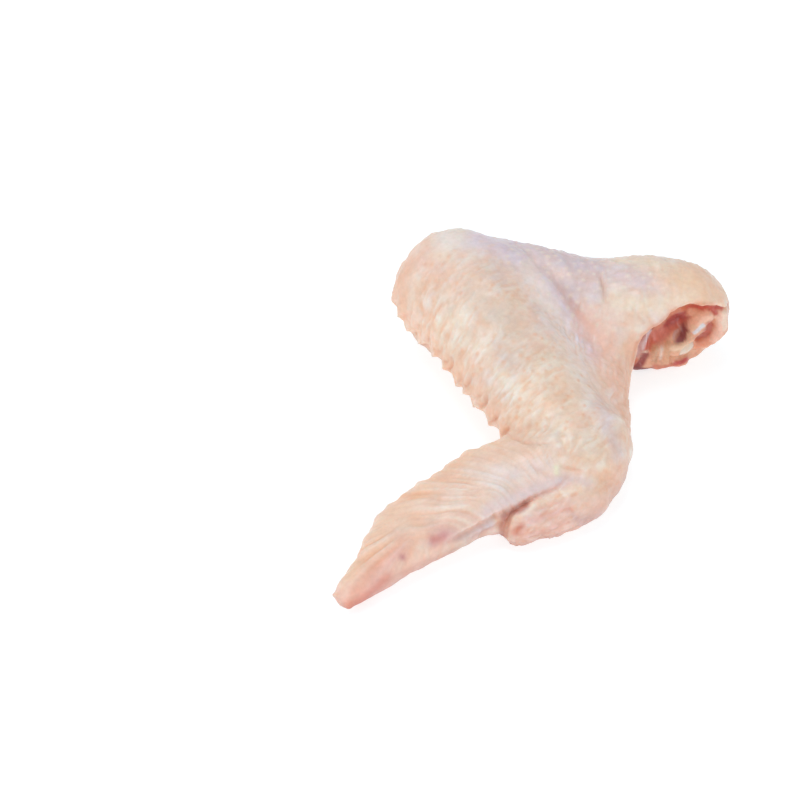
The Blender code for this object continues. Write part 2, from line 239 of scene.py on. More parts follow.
# Blotches all over: size, colour, seed, where the noise starts and ends, strength, strength on the hand
MOTTLES = [
    (13, LILAC, 51, 0.0, 0.7, 0.4, 0.1),
    (11, PEACH, 52, -0.1, 0.6, 0.5, 0.5),
    (7, CREAM, 53, 0.0, 0.6, 0.5, 0.3),
    (5, PINK, 54, 0.1, 0.7, 0.35, 0.3),
    (3.5, DEEP_PEACH, 60, 0.0, 0.6, 0.42, 0.3),
    (1.8, CREAM, 61, 0.1, 0.6, 0.35, 0.3),
    (1.6, ORANGE, 62, 0.25, 0.7, 0.22, 0.2),
]
MOTTLE_FADE = 0.45  # how much weaker the blotches are on the side that the photograph hides
# Short strokes on the forearm: colour, seed, strength
STROKES = [((250, 238, 224), 85, 0.45), ((240, 192, 158), 86, 0.42)]
# How strong the colours of single features are
STREAK_STRENGTH = 0.6
EDGE_STRENGTH = 0.35
ORANGE_STRENGTH = 0.55
BUMP_STRENGTH = 0.6
# Painted highlights on the wrinkles' ridges and painted shade in their valleys
RIDGE_PAINTED_HIGHLIGHT = (0.02, 0.09, 0.17)
VALLEY_PAINTED_SHADE = (-0.01, -0.14, -0.24)
# Painted shade in the creases
CREASE_PAINTED_SHADE = (-0.06, -0.24, -0.32)
# Painted shade on the skin that turns down to the table, near it
LOW_PAINTED_SHADE = (-0.22, -0.34, -0.32)
LOW_FACING = (-0.6, 0.35)
LOW_HEIGHT = (5, 10)

REGION_COLOURS = {
    "forearm": CREAM,
    "upper arm": (243, 224, 214),
    "web": (248, 216, 200),
    "hand": (255, 221, 203),
    "thumb": (240, 200, 182),
}

# Washes of colour: the pixels they run through, half width in millimetres, colour, strength
WASHES = [
    # Elbow
    ([(396, 302), (400, 276), (408, 258)], 3.2, (241, 192, 164), 0.9),
    ([(416, 249), (434, 240)], 2.8, (246, 212, 194), 0.7),
    ([(424, 262), (436, 268)], 3.0, PINK, 0.5),
    ([(446, 240), (474, 242)], 3.4, (250, 240, 236), 0.85),
    # Forearm
    ([(470, 279)], 1.6, BEIGE, 0.7),
    ([(460, 268), (490, 300), (520, 335)], 5.0, (239, 216, 200), 0.5),
    ([(498, 346), (512, 366)], 2.4, (212, 198, 196), 0.5),
    ([(445, 297), (462, 318), (484, 347), (506, 382)], 3.2, (234, 211, 193), 0.6),
    # Painted highlights on the forearm's lit side
    ([(443, 299)], 2.2, (255, 246, 232), 0.2),
    ([(462, 317)], 2.6, (255, 244, 228), 0.45),
    ([(482, 346)], 2.8, (255, 246, 232), 0.5),
    ([(500, 376), (512, 390)], 2.6, (255, 244, 226), 0.5),
    ([(470, 296), (492, 314)], 2.4, (218, 200, 188), 0.4),
    ([(500, 322), (520, 350)], 4.0, (224, 207, 192), 0.45),
    ([(398, 312), (414, 330), (440, 358), (478, 402), (503, 430)], 2.8, (246, 206, 180), 0.8),
    ([(490, 394), (508, 412), (512, 430)], 2.6, (240, 206, 178), 0.45),
    # Crest
    ([(480, 236), (520, 258), (556, 300), (592, 350)], 3.8, (229, 216, 230), 0.8),
    # Painted light along the crest, offsetting the groove's shade
    ([(526, 268), (550, 312), (568, 340), (588, 385), (598, 416)], 3.2, (248, 234, 226), 0.75),
    # Groove
    ([(566, 288), (594, 290)], 3.0, (208, 198, 210), 0.6),
    ([(544, 268), (562, 290), (580, 318), (594, 342)], 1.8, (226, 212, 216), 0.55),
    # Back
    ([(505, 243), (550, 252), (590, 262)], 2.6, LILAC, 0.7),
    # Web
    ([(588, 318), (606, 345), (616, 380)], 3.6, (248, 210, 194), 0.8),
    ([(634, 338), (628, 360), (628, 400), (631, 440)], 2.0, (240, 186, 154), 0.65),
    # Wrist
    ([(600, 405), (612, 435), (618, 455)], 2.0, LILAC, 0.5),
    ([(540, 420), (570, 430), (585, 450)], 4.0, CREAM, 0.5),
    ([(515, 448), (535, 455), (545, 468)], 3.0, PEACH, 0.6),
    ([(562, 478), (574, 479), (586, 484)], 1.8, LILAC, 0.5),
    # Hand
    ([(488, 510), (515, 499), (540, 489), (560, 481)], 2.2, (232, 216, 222), 0.7),
    ([(470, 468), (488, 474), (500, 490)], 3.0, (244, 230, 222), 0.75),
    ([(482, 443), (440, 470), (400, 500), (372, 535), (350, 575)], 3.6, (254, 210, 180), 0.75),
    ([(448, 494), (470, 490), (492, 500)], 3.2, (250, 230, 216), 0.2),
    ([(402, 522), (444, 516)], 3.2, (255, 222, 203), 0.45),
    ([(404, 552), (378, 570), (356, 594)], 3.0, (247, 188, 171), 0.75),
    ([(338, 592), (344, 602)], 2.0, (243, 190, 168), 0.6),
    ([(388, 578), (376, 588), (360, 600), (347, 608)], 1.4, (224, 138, 118), 0.6),
    # Painted shade along the hand's crease, greyish lilac
    ([(490, 524), (474, 532), (460, 539)], 1.9, (210, 198, 206), 0.7),
    ([(496, 474), (516, 474), (548, 466)], 3.0, (248, 234, 232), 0.7),
    ([(486, 539), (462, 549), (440, 558)], 1.8, (236, 216, 190), 0.7),
    # Painted shade along the hand's lower edge
    ([(388, 581), (408, 572), (434, 560), (452, 553)], 1.6, (228, 176, 156), 0.7),
    ([(384, 582), (366, 594), (350, 604)], 1.6, (228, 142, 122), 0.55),
    ([(432, 526), (454, 532), (474, 535)], 2.4, (234, 214, 210), 0.5),
    # Bruises
    ([(434, 540), (448, 534)], 2.6, (228, 176, 176), 0.55),
    ([(434, 541), (440, 540), (446, 537)], 1.3, (212, 134, 136), 0.65),
    ([(404, 559)], 0.9, BRUISE, 0.8),
    # Thumb
    ([(600, 505), (570, 513), (530, 520)], 3.2, (242, 203, 190), 0.6),
    # Painted highlight along the thumb's upper edge
    ([(517, 517), (524, 509), (540, 502), (560, 494), (580, 490)], 1.2, (255, 230, 210), 0.75),
    ([(555, 497), (558, 496)], 0.6, (236, 168, 128), 0.6),
    ([(571, 496), (574, 495)], 0.6, (236, 168, 128), 0.6),
    ([(543, 516), (548, 514)], 0.6, (234, 160, 130), 0.4),
    ([(567, 512), (572, 511)], 0.6, (234, 160, 130), 0.4),
    ([(530, 521), (550, 517), (572, 508)], 0.7, (238, 176, 162), 0.35),
    ([(524, 532), (545, 530), (566, 524)], 0.8, (236, 174, 160), 0.4),
    ([(574, 518), (583, 521), (594, 514)], 1.5, (208, 172, 172), 0.6),
    ([(516, 531), (522, 527)], 1.0, (224, 138, 116), 0.65),
    # Painted shade in the notch between thumb and hand
    ([(525, 504), (514, 511), (506, 517)], 0.9, (184, 112, 104), 0.75),
    ([(507, 519), (504, 528), (504, 536)], 1.0, (186, 114, 98), 0.75),
    ([(622, 470), (612, 496)], 3.0, (241, 193, 171), 0.65),
    # Painted shade along the wrist's lower edge
    ([(630, 468), (620, 488), (602, 506), (584, 519)], 1.3, (218, 172, 158), 0.5),
    # Upper arm
    ([(560, 262), (610, 272), (655, 285)], 3.4, LILAC, 0.7),
    ([(618, 300), (650, 306), (684, 298)], 2.6, (248, 230, 211), 0.85),
    ([(620, 258), (660, 264), (690, 268)], 2.2, (252, 234, 214), 0.75),
    ([(692, 276), (704, 284), (716, 292)], 4.8, (255, 211, 182), 0.95),
    ([(664, 276), (690, 284), (704, 300)], 4.0, (255, 224, 195), 0.5),
    # Wrist's fleck
    ([(557, 465), (557, 471)], 1.0, (246, 240, 214), 0.95),
    # Rim
    (
        [(632, 364), (638, 344), (650, 329), (664, 320), (676, 310), (692, 305), (708, 306), (724, 308)],
        0.8,
        (226, 156, 122),
        0.8,
    ),
]

# Flesh in the cut, painted one over the other: the pixels each runs through, half width, how far it
# stands out of the cut's plane, colour
FLESH = [
    # Muscles
    ([(650, 352), (672, 345), (690, 335), (710, 328)], 5.0, -1.5, (230, 172, 140)),
    ([(644, 345), (656, 336), (668, 327), (678, 319)], 2.4, -2.2, (208, 114, 94)),
    # The band's upper end: muscle colour, darker with painted shade
    ([(666, 323), (678, 316), (687, 314)], 1.5, -2.4, (182, 88, 82)),
    ([(656, 327), (667, 316), (676, 309), (690, 306)], 0.9, -1.2, (214, 132, 100)),
    # Red flesh under the skin's rim, darkened with painted shade
    ([(688, 307), (704, 307), (720, 308)], 0.8, -2.0, (206, 96, 80)),
    # Painted highlight on the muscle, orange-peach
    ([(690, 312), (698, 313)], 1.1, -1.2, (230, 166, 136)),
    ([(647, 328), (652, 327)], 0.6, 0.3, (176, 104, 78)),
    # Hollow in the middle
    ([(686, 327), (681, 341)], 1.75, -3.0, (146, 72, 70)),
    ([(674, 338), (677, 330)], 0.35, -2.2, (206, 158, 146)),
    # Left side
    ([(635, 354), (636, 363)], 1.0, -0.5, (218, 130, 98)),
    ([(645, 355), (641, 363), (634, 370)], 1.1, -2.6, (166, 86, 80)),
    ([(640, 352), (647, 351)], 0.4, -0.2, (226, 196, 180)),
    # Strands
    ([(655, 347), (654, 360)], 0.9, -0.3, (210, 158, 126)),
    # Painted highlight on a strand
    ([(661, 347), (661, 358)], 0.5, -0.1, (228, 198, 182)),
    ([(667, 344), (667, 361)], 0.9, -0.3, (218, 162, 126)),
    # Below the bone, with a clot
    ([(655, 367), (664, 368), (673, 366)], 0.9, -0.4, (206, 124, 98)),
    # A painted shadow line along the cut's bottom
    ([(634, 369), (652, 369)], 0.5, -1.4, (136, 70, 70)),
    ([(676, 364), (680, 363), (686, 360)], 0.7, 0.2, (204, 92, 86)),
    # Right side
    ([(710, 325), (706, 334), (699, 340)], 1.2, -2.4, (198, 106, 88)),
    ([(712, 340), (703, 343), (696, 346)], 1.2, -0.8, (228, 146, 112)),
    ([(721, 316), (721, 328), (715, 339)], 1.5, 0.0, (242, 194, 172)),
    ([(724, 312), (725, 328)], 0.7, 0.1, (244, 214, 194)),
    # Tendon, and the bone's cover
    ([(709, 314), (700, 320), (691, 325)], 1.5, 0.4, (242, 190, 164)),
    ([(693, 327), (689, 338), (683, 348)], 0.8, 0.3, (238, 200, 170)),
    ([(674, 348), (684, 346)], 1.1, 0.2, (236, 198, 166)),
    # Red mark
    ([(711, 309), (716, 313)], 0.6, -1.2, (206, 102, 88)),
    # Membrane and its edge
    ([(637, 353), (641, 342), (645, 333)], 1.2, -0.6, (212, 168, 164)),
    ([(643, 348), (646, 339), (649, 330)], 0.6, 0.0, (226, 206, 210)),
    # Painted highlight of the wet flesh's gloss
    ([(703, 325), (695, 333)], 0.5, 0.2, (220, 212, 216)),
]
FLESH_BASE = (228, 168, 138)
FLESH_GRID = 0.28
FLESH_ROUNDING = 6  # rounds of smoothing
# The skin sinks this far behind the cut's face at its edge and in its middle, reached at that distance
SINK_AT_EDGE = 1.3
SINK_IN_MIDDLE = 6.0
SINK_REACH = 3.6
SINK_MARGIN = 0.5
BONE_COVER = 0.35
# Rays that look for the cut's face start this far out of its plane
RAY_START = 12
RAY_LENGTH = 26
NOTHING_THERE = -99.0
# The bone's head shows through the flesh here
BONE_WINDOW = [(686, 355), (694, 349)]
BONE_WINDOW_REACH = 1.75

# What each material's shader says all over
SHADERS = {
    "raw_skin": {
        "Subsurface Weight": 0.25,
        "Subsurface Radius": (1.0, 0.45, 0.3),
        "Subsurface Scale": 1.6 * MM,
        "Coat Weight": 0.25,
        "Coat Roughness": 0.25,
    },
    "raw_flesh": {
        "Roughness": 0.3,
        "Subsurface Weight": 0.2,
        "Subsurface Radius": (1.0, 0.35, 0.25),
        "Subsurface Scale": 1.2 * MM,
        "Coat Weight": 0.3,
        "Coat Roughness": 0.15,
    },
    "cartilage": {
        "Roughness": 0.25,
        "Subsurface Weight": 0.2,
        "Subsurface Radius": (1.0, 0.6, 0.4),
        "Subsurface Scale": 1.0 * MM,
        "Coat Weight": 0.3,
        "Coat Roughness": 0.12,
    },
    "floor_white": {
        "Base Color": (0.46, 0.53, 0.56, 1),
        "Roughness": 0.9,
        "Emission Color": (1, 1, 1, 1),
        "Emission Strength": 0.68,
    },
}
SKIN_ROUGHNESS = (0.36, 0.52)
CARTILAGE = [(0.38, (230, 200, 174)), (0.62, (228, 212, 200))]
NOISE_MIDDLE = (0.3, 0.7)  # most of a noise texture's values lie between these

FLOOR_SIZE = 3.0
FLOOR_HEIGHT = -0.0001  # just under the wing's resting patches
# The softboxes: where each stands, its size and its power
SOFTBOXES = {
    "overhead": ((-0.2, 0.1, 0.9), 0.5, 2.0),
    "left": ((-0.75, 0.3, 0.45), 0.3, 0.9),
    "front": ((0.1, -0.8, 0.45), 0.6, 1.7),
}
LIT_PLACE = (0, 0, 0.01)
WORLD_STRENGTH = 0.5


def linear(colour):
    """A colour given as 0 to 255 on a screen, as light."""
    share = np.array(colour, float) / 255
    return np.where(share < 0.04045, share / 12.92, ((share + 0.055) / 1.055) ** 2.4)


def to_plan(points):
    return np.asarray(points) / MM + PLAN_MIDDLE


def to_row(points):
    return (np.asarray(points) - PLAN_MIDDLE) * MM


def pixels_of(points):
    """The photograph's pixels at which these places of the plan show."""
    away = points + CAMERA_DISTANCE * LOOK
    depth = away @ LOOK
    focal = PIXELS_PER_MM * CAMERA_DISTANCE
    across = IMAGE_SIZE / 2 + focal * away[:, 0] / depth
    down = IMAGE_SIZE / 2 - focal * (away @ LOOK_UP) / depth
    return np.stack([across, down], axis=1)


def smoothstep(low, high, values):
    share = np.clip((values - low) / (high - low), 0, 1)
    return share * share * (3 - 2 * share)


def between(low, high, margin, values):
    return smoothstep(low - margin, low, values) * (1 - smoothstep(high, high + margin, values))


def bell(apart, width):
    """1 in the middle, falling off softly with the distance from it."""
    return np.exp(-((apart / width) ** 2))


def scrambled(cells, seed):
    """A repeatable random number from 0 to 1 for each whole-numbered cell."""
    mask = np.uint64(0xFFFFFFFF)
    mixed = np.full(cells.shape[0], (seed * 2654435761 + 12345) & 0xFFFFFFFF, np.uint64)
    for column in cells.astype(np.int64).T:
        mixed = ((mixed ^ (column.astype(np.uint64) & mask)) * np.uint64(2246822519)) & mask
        mixed = mixed ^ (mixed >> np.uint64(13))
    mixed = (mixed * np.uint64(3266489917)) & mask
    mixed = mixed ^ (mixed >> np.uint64(16))
    return mixed.astype(float) / 2**32


def noise(points, size, seed):
    """Smooth noise from -1 to 1 whose features have that size."""
    scaled = points / size
    cell = np.floor(scaled).astype(np.int64)
    share = scaled - cell
    share = share * share * (3 - 2 * share)
    total = np.zeros(len(points))
    for corner in np.ndindex(*(2,) * points.shape[1]):
        weight = np.prod(np.where(corner, share, 1 - share), axis=1)
        total += weight * scrambled(cell + np.array(corner), seed)
    return total * 2 - 1


def nearest_spot(places, spacing, jitter, seed):
    """How far each place of a surface is from the nearest of scattered spots, and that spot's number."""
    scaled = places / spacing
    cell = np.floor(scaled).astype(np.int64)
    best = np.full(len(places), 9.0)
    number = np.zeros(len(places))
    for step in np.ndindex(3, 3):
        there = cell + np.array(step) - 1
        shift = np.stack([scrambled(there, seed), scrambled(there, seed + 1)], axis=1) - 0.5
        spot = there + 0.5 + shift * jitter
        apart = np.linalg.norm(scaled - spot, axis=1)
        closer = apart < best
        best[closer] = apart[closer]
        number[closer] = scrambled(there, seed + 2)[closer]
    return best * spacing, number


def smooth_route(route, steps_each=8):
    """Points along a smooth curve through the route's own points."""
    route = np.asarray(route, float)
    if len(route) == 1:
        return route
    knots = np.arange(len(route))
    slopes = np.gradient(route, axis=0)
    where = np.linspace(0, len(route) - 1, steps_each * (len(route) - 1) + 1)
    left = np.minimum(where.astype(int), len(route) - 2)
    t = (where - knots[left])[:, None]
    rise = t * t * (3 - 2 * t)
    return (
        route[left] * (1 - rise)
        + route[left + 1] * rise
        + slopes[left] * t * (1 - t) ** 2
        + slopes[left + 1] * t * t * (t - 1)
    )


def beside_route(pixels, route, reach):
    """The places within reach of a route: their indices, distance in millimetres and share along it."""
    line = smooth_route(route)
    margin = reach * PIXELS_PER_MM
    low, high = line.min(axis=0) - margin, line.max(axis=0) + margin
    found = np.flatnonzero(((pixels > low) & (pixels < high)).all(axis=1))
    if len(line) == 1:
        apart = np.linalg.norm(pixels[found] - line[0], axis=1)
        return found, apart / PIXELS_PER_MM, np.full(len(found), 0.5)
    best = np.full(len(found), 1e9)
    share = np.zeros(len(found))
    for k in range(len(line) - 1):
        span = line[k + 1] - line[k]
        away = pixels[found] - line[k]
        t = np.clip(away @ span / max(span @ span, 1e-9), 0, 1)
        apart = np.linalg.norm(away - t[:, None] * span, axis=1)
        closer = apart < best
        best[closer] = apart[closer]
        share[closer] = (k + t[closer]) / (len(line) - 1)
    return found, best / PIXELS_PER_MM, share


def axes_of(start, end):
    along = (end - start) / np.linalg.norm(end - start)
    left = np.cross([0, 0, 1], along)
    left = left / np.linalg.norm(left)
    return along, left, np.cross(along, left)


def limb_places(points, start, end):
    """Each point's place along a limb, across to its left and up from its middle line."""
    along, left, up = axes_of(start, end)
    away = points - start
    return away @ along, away @ left, away @ up


def round_forearm(points):
    """Each point's place along the forearm, and how far round it from its trailing side."""
    along, across, up = limb_places(points, ELBOW, WRIST)
    return along, np.arctan2(up, -across) * np.hypot(across, up)


def distance_to_line(points, start, end):
    span = end - start
    share = np.clip((points - start) @ span / (span @ span), 0, 1)
    return np.linalg.norm(points - start - share[:, None] * span, axis=1)


def region_shares(points):
    """How far each point belongs to each region, from 0 to 1."""
    weights = {}
    for name, (start, end, thickness) in REGIONS.items():
        weights[name] = np.exp(-REGION_SHARPNESS * distance_to_line(points, start, end) / thickness)
    total = sum(weights.values())
    return {name: weight / total for name, weight in weights.items()}


def in_cut(points):
    """Each point's place along the cut's right and up, and how far it stands out of its plane."""
    away = points - CUT_POINT
    return away @ CUT_RIGHT, away @ CUT_UP, away @ CUT_NORMAL


def rim_height(right):
    return np.interp(right, RIM_PLACES, RIM_HEIGHTS)


class Surface:
    """The points and normals of an object's mesh, in the plan."""

    def __init__(self, obj):
        self.obj = obj
        self.read()

    def read(self):
        count = len(self.obj.data.vertices)
        points = np.empty(count * 3)
        normals = np.empty(count * 3)
        self.obj.data.vertices.foreach_get("co", points)
        self.obj.data.vertices.foreach_get("normal", normals)
        self.points = to_plan(points.reshape(-1, 3))
        self.normals = normals.reshape(-1, 3)
        self.pixels = pixels_of(self.points)
        facing = -(self.normals @ LOOK)
        self.seen = smoothstep(*SEEN, facing)
        self.nearly_seen = smoothstep(*NEARLY_SEEN, facing + RAGGED * noise(self.points, 5, 91))

    def write(self, points):
        points = points.copy()
        points[:, 2] = np.maximum(points[:, 2], 0)
        self.obj.data.vertices.foreach_set("co", to_row(points).ravel())
        self.obj.data.update()
        self.read()


def add_object(name, data):
    obj = bpy.data.objects.new(name, data)
    bpy.context.scene.collection.objects.link(obj)
    return obj


def add_mesh(name, points, faces):
    """A smooth mesh object from points of the plan."""
    mesh = bpy.data.meshes.new(name)
    mesh.from_pydata(to_row(points).tolist(), [], faces)
    mesh.shade_smooth()
    return add_object(name, mesh)


def subdivide(obj, levels):
    finer = obj.modifiers.new("Finer", "SUBSURF")
    finer.levels = finer.render_levels = levels


def apply_modifiers(obj):
    bpy.context.view_layer.update()
    graph = bpy.context.evaluated_depsgraph_get()
    mesh = bpy.data.meshes.new_from_object(obj.evaluated_get(graph))
    obj.modifiers.clear()
    obj.data = mesh
    obj.data.shade_smooth()


def node_mesh(node, swell):
    """A CAD node's points, moved out by swell, and its triangles."""
    mesh = node.data
    points = np.array([vertex.co[:] for vertex in mesh.vertices])
    faces = [tuple(face.vertices) for face in mesh.polygons]
    merged, index = np.unique(points.round(7), axis=0, return_inverse=True)
    index = index.ravel()
    faces = [tuple(int(index[k]) for k in face) for face in faces]
    faces = [face for face in faces if len(set(face)) == len(face)]
    normals = np.zeros_like(merged)
    for face in faces:
        corner = merged[list(face[:3])]
        normals[list(face)] += np.cross(corner[1] - corner[0], corner[2] - corner[0])
    normals /= np.maximum(np.linalg.norm(normals, axis=1), 1e-12)[:, None]
    return to_plan(merged) + normals * swell, faces


def skin_base(nodes):
    """A fine even mesh of the wing with the bone's channel filled."""
    wing, wing_faces = node_mesh(nodes["wing"], 0)
    bone, bone_faces = node_mesh(nodes["humerus"], BONE_SWELL)
    faces = wing_faces + [tuple(k + len(wing) for k in face) for face in bone_faces]
    obj = add_mesh("skin", np.vstack([wing, bone]), faces)
    subdivide(obj, 1)
    even = obj.modifiers.new("Even", "REMESH")
    even.mode = "VOXEL"
    even.voxel_size = SKIN_GRID * MM
    rounder = obj.modifiers.new("Rounder", "SMOOTH")
    rounder.iterations = SKIN_ROUNDING
    rounder.factor = 0.5
    apply_modifiers(obj)
    return obj


def saw(share, tips):
    """A row of knuckles from 0 to 1 that rise slowly to each tip and fall faster after it."""
    phase = np.mod(np.interp(share, tips, np.arange(len(tips))), 1)
    rising = (phase - KNUCKLE_FALL) / (1 - KNUCKLE_FALL)
    return np.where(phase < KNUCKLE_FALL, 1 - phase / KNUCKLE_FALL, rising)


def forearm_knuckles(points):
    """The feather knuckles down the forearm's trailing edge."""
    along, arc = round_forearm(points)
    along -= KNUCKLE_SLANT * np.clip(arc - KNUCKLE_MIDDLE, -12, 12)
    share = along / np.linalg.norm(WRIST - ELBOW)
    rise = KNUCKLE_HEIGHT * (saw(share + 0.008 * noise(points, 4, 11), KNUCKLES) - 0.5)
    rise *= (1 + 0.3 * noise(points, 5, 12)) * (0.6 + 0.4 * smoothstep(-0.1, 0.2, share))
    rise = (rise + np.interp(share, *KNUCKLE_EDGE)) * bell(arc - KNUCKLE_MIDDLE, KNUCKLE_SPREAD)
    return rise * between(KNUCKLES[0], KNUCKLES[-1], 0.06, share)


def hand_knuckles(points, normals):
    """The smaller ones down the hand's far edge."""
    start, end = HAND_MIDDLE
    along, _, up = limb_places(points, start, end)
    share = (along - HAND_KNUCKLE_SLANT * up) / np.linalg.norm(end - start)
    beside = smoothstep(0.1, 0.8, normals @ -axes_of(start, end)[1])
    rise = HAND_KNUCKLE_HEIGHT * (saw(share, HAND_KNUCKLES) - 0.5)
    rise *= between(HAND_KNUCKLES[0], HAND_KNUCKLES[-1], 0.08, share)
    low, high = HAND_EDGE[0][0], HAND_EDGE[0][-1]
    return beside * (rise + np.interp(share, *HAND_EDGE) * between(low, high, 0.08, share))


def puffy(flow, seed):
    """Soft rounds with narrow valleys between them, from about -0.5 to 1."""
    return 2.4 * np.sqrt(noise(flow, 1, seed) ** 2 + 0.012) - 0.72


def bends(points):
    """The wide and the narrow noise that bend the wrinkles."""
    return [noise(points, size, seed) for size, seed in BENDS]


def limb_flow(points, name, wide, narrow):
    """Places across and along a limb's wrinkles."""
    spacing, length, _, rings = WRINKLES[name]
    along, across, up = limb_places(points, *REGIONS[name][:2])
    step_along, step_round = (spacing, length) if rings else (length, spacing)
    slant = WRINKLE_SLANT * across if rings else 0
    along = (along + slant + 1.2 * wide + 0.5 * narrow) / step_along
    return np.stack([along, across / step_round, up / step_round], axis=1)


def limb_wrinkles(points, name, wide, narrow, seed):
    flow = limb_flow(points, name, wide, narrow)
    rise = puffy(flow, seed) + 0.45 * puffy(flow * np.array([1.9, 2.1, 2.1]), seed + 1)
    if name == "forearm":
        along, arc = round_forearm(points)
        rise *= CREST_SHARE + (1 - CREST_SHARE) * bell(arc - 4, 10)
        rise *= 0.6 + 0.4 * smoothstep(-8, 12, along)
    return WRINKLES[name][2] * rise


def hand_flows(points, wide, narrow):
    """Places across and along the ridges of each of the hand's fans, and how much that fan counts there."""
    along = limb_places(points, *REGIONS["hand"][:2])[0]
    towards_tip = smoothstep(*HAND_FAN_CHANGE, along + 3 * wide)
    spacing, length = HAND_RIDGES["spacing"], HAND_RIDGES["length"]
    flows = []
    for fan, share in zip(HAND_FANS, (1 - towards_tip, towards_tip)):
        away = points[:, :2] - np.array(fan["centre"])
        far = np.linalg.norm(away, axis=1)
        angle = np.mod(np.arctan2(away[:, 1], away[:, 0]), 2 * math.pi)
        across = angle * fan["radius"] + 0.45 * wide + 0.12 * narrow
        flow = np.stack([across / spacing, far / length, points[:, 2] / length], axis=1)
        flows.append((flow, share * smoothstep(3, 12, far)))
    return flows


def hand_ridges(points, wide, narrow):
    rise = np.zeros(len(points))
    for number, (flow, share) in enumerate(hand_flows(points, wide, narrow)):
        rise += share * noise(flow, 1, 71 + number)
        rise += 0.4 * share * puffy(flow * np.array([1.3, 1.0, 1.0]), 73 + number)
    return HAND_RIDGES["height"] * rise


def hand_streaks(points):
    """Light streaks along the hand's ridges, from 0 to 1."""
    streaks = np.zeros(len(points))
    for number, (flow, share) in enumerate(hand_flows(points, *bends(points))):
        streaks += share * smoothstep(0.0, 0.6, noise(flow * np.array([1.2, 1.0, 1.0]), 1, 81 + number))
    return streaks


def strokes(points, seed):
    """Short strokes along the forearm's wrinkles, from 0 to 1."""
    flow = limb_flow(points, "forearm", *bends(points))
    return smoothstep(0.1, 0.65, noise(flow * np.array([1.4, 1.3, 1.3]), 1, seed))


def wrinkle_rise(points, shares):
    """Wrinkles round the limbs, and the fan of ridges on the hand."""
    wide, narrow = bends(points)
    rise = shares["hand"] * hand_ridges(points, wide, narrow)
    for number, name in enumerate(WRINKLES):
        rise += shares[name] * limb_wrinkles(points, name, wide, narrow, 30 + 2 * number)
    size, height = ELBOW_WRINKLES
    on_elbow = smoothstep(4, -10, round_forearm(points)[0])
    rise += height * on_elbow * puffy(points / size, 90)
    return rise * (0.6 + 0.4 * smoothstep(-0.5, 0.5, noise(points, 7, 23)))


def roughness_share(surface):
    """How much of the wrinkles each place keeps."""
    share = np.ones(len(surface.points))
    for route, half_width, strength in CALM:
        found, apart, _ = beside_route(surface.pixels, route, 2.6 * half_width)
        share[found] *= 1 - strength * bell(apart, half_width) * surface.seen[found]
    return share


def crease_rise(surface):
    """Grooves with raised lips on the side that the photograph shows, and how deep in one each point is,
    which sets the painted shade in the creases.
    """
    rise = np.zeros(len(surface.points))
    painted_crease_shade = np.zeros(len(surface.points))
    for route, depth, half_width in CREASES:
        found, apart, share = beside_route(surface.pixels, route, 4 * half_width)
        fade = np.sin(math.pi * np.clip(share, 0.06, 0.94)) ** 0.5 * surface.seen[found]
        groove = bell(apart, half_width)
        lip = bell(apart - 2 * half_width, half_width)
        rise[found] += depth * fade * (LIP_SHARE * lip - groove)
        painted_crease_shade[found] += min(CREASE_SHADE * depth, 1) * fade * groove
    return rise, painted_crease_shade


def flat_map(points, name):
    """A region's surface laid flat, in millimetres: along it and round it, turned a little."""
    along, across, up = limb_places(points, *REGIONS[name][:2])
    flat = np.stack([along, np.arctan2(across, up) * REGIONS[name][2]], axis=1)
    cosine, sine = math.cos(SPOT_ROWS), math.sin(SPOT_ROWS)
    return flat @ np.array([[cosine, -sine], [sine, cosine]])


def spot_rise(points, shares):
    """The height of the raised spots, and how near each point is to one."""
    rise = np.zeros(len(points))
    near = np.zeros(len(points))
    for number, (name, (spacing, height)) in enumerate(SPOTS.items()):
        belongs = smoothstep(0.22, 0.5, shares[name])
        apart, which = nearest_spot(flat_map(points, name), spacing, 0.45, 40 + 5 * number)
        spot = bell(apart, SPOT_RADIUS) * belongs * (0.35 + 0.65 * which)
        rise += height * spot
        near = np.maximum(near, spot * (which > 0.3))
    return rise, near


def swelling_rise(surface):
    rise = np.zeros(len(surface.points))
    for pixel, half_width, height in SWELLINGS:
        found, apart, _ = beside_route(surface.pixels, [pixel], 3 * half_width)
        rise[found] += height * bell(apart, half_width) * surface.nearly_seen[found]
    return rise


def grid_index(values, lines):
    """The number of the grid's line that is nearest to each value."""
    return np.clip(np.round((values - lines[0]) / FLESH_GRID).astype(int), 0, len(lines) - 1)


def sunk_depth(points, normals, cut):
    """How far each place of the skin sinks behind the cut's flesh, and 1 where it does."""
    right, up, out = in_cut(points)
    on_face = smoothstep(0.2, 0.6, normals @ CUT_NORMAL) * smoothstep(-9, -6, out)
    under_rim = smoothstep(0.2, 0.9, rim_height(right) - up)
    inside = under_rim * smoothstep(RIM_START + 0.2, RIM_START + 0.9, right)
    on_face *= inside * (1 - smoothstep(0.3, 1.2, out))
    row, column = grid_index(up, cut["ups"]), grid_index(right, cut["rights"])
    return on_face * cut["sink"][row, column], on_face


